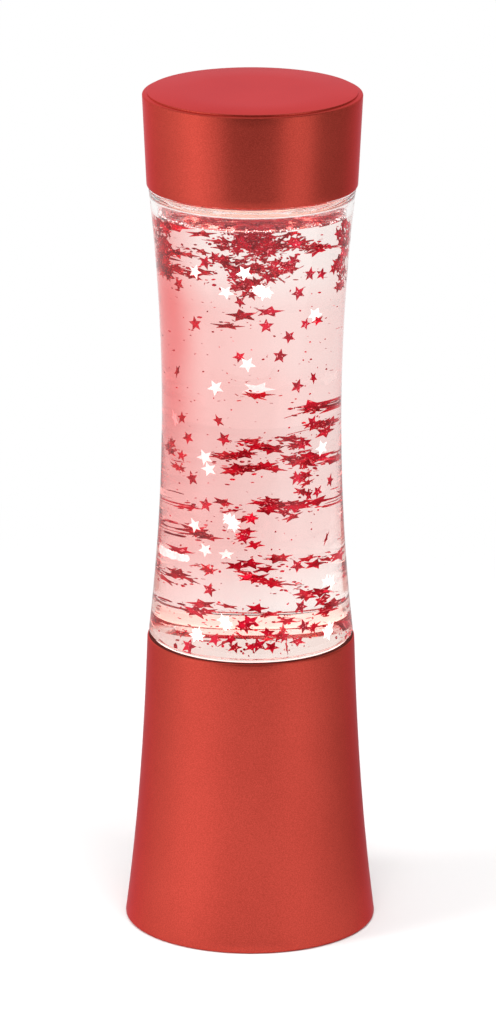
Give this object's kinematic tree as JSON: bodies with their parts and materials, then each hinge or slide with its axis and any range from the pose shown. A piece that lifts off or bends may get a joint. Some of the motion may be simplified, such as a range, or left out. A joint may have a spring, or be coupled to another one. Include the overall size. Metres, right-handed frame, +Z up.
{
  "type": "glitter lamp",
  "caption": "Battery glitter lamp: flared red base with LED board, battery cartridge and switch, waisted clear bottle of liquid with foil stars, and a tapered red cap.",
  "frame": {"origin": "centre of the round foot, on the surface that the lamp stands on", "axes": "+Z up along the lamp's axis, +Y towards the switch, -Y towards the viewer in the picture"},
  "size_m": [0.059, 0.059, 0.2],
  "materials": {
    "red_lacquer": "satin metallic red lacquer on moulded plastic",
    "black_plastic": "fine moulded texture",
    "dark_plastic": "fine moulded texture",
    "carrier_plastic": "smooth moulded",
    "white_plastic": "smooth moulded",
    "steel": "zinc plated",
    "nickel": "nickel plated spring steel",
    "brass": "plain",
    "cell": "plain printed sleeve without lettering",
    "board": "white solder resist",
    "led": "white body with a clear lens",
    "red_wire": "insulated wire",
    "black_wire": "insulated wire",
    "window": "clear, lightly frosted",
    "foam": "closed-cell foam",
    "clear_bottle": "clear polished",
    "liquid": "clear liquid with a pink glow",
    "star_foil": "shiny red foil"
  },
  "bodies": {
    "lamp": {"base_shell": "red_lacquer", "base_plate": "black_plastic", "plate_screw_1": "steel", "plate_screw_2": "steel", "plate_screw_3": "steel", "battery_carrier": "carrier_plastic", "lower_link": "nickel", "upper_link": "nickel", "centre_contact": "brass", "ring_contact": "brass", "battery_1": "cell", "battery_2": "cell", "battery_3": "cell", "carrier_spring_1": "nickel", "carrier_spring_2": "nickel", "carrier_spring_3": "nickel", "led_board": "board", "led_1": "led", "led_2": "led", "led_3": "led", "centre_pin": "brass", "ring_pin": "brass", "switch_body": "black_plastic", "wire_1": "red_wire", "wire_2": "black_wire", "light_window": "window", "seat_gasket": "foam", "bottle": "clear_bottle", "liquid": "liquid", "star_01": "star_foil", "star_02": "star_foil", "star_03": "star_foil", "star_04": "star_foil", "star_05": "star_foil", "star_06": "star_foil", "star_07": "star_foil", "star_08": "star_foil", "star_09": "star_foil", "star_10": "star_foil", "star_11": "star_foil", "star_12": "star_foil", "star_13": "star_foil", "star_14": "star_foil", "star_15": "star_foil", "star_16": "star_foil", "star_17": "star_foil", "star_18": "star_foil", "star_19": "star_foil", "star_20": "star_foil", "star_21": "star_foil", "star_22": "star_foil", "star_23": "star_foil", "star_24": "star_foil", "star_25": "star_foil", "closure_liner": "foam", "bottle_closure": "white_plastic", "top_cap": "red_lacquer"},
    "cover": {"battery_cover": "dark_plastic", "cover_spring": "steel"},
    "slider": {"switch_slider": "white_plastic"}
  },
  "joints": [
    {"name": "cover_twist", "type": "hinge", "parent": "lamp", "child": "cover", "pos_m": [0, 0, 0], "axis": [0, 0, -1], "range_deg": [0, 35]},
    {"name": "switch_slide", "type": "slide", "parent": "lamp", "child": "slider", "axis": [1, 0, 0], "range_m": [0, 0.002]}
  ]
}
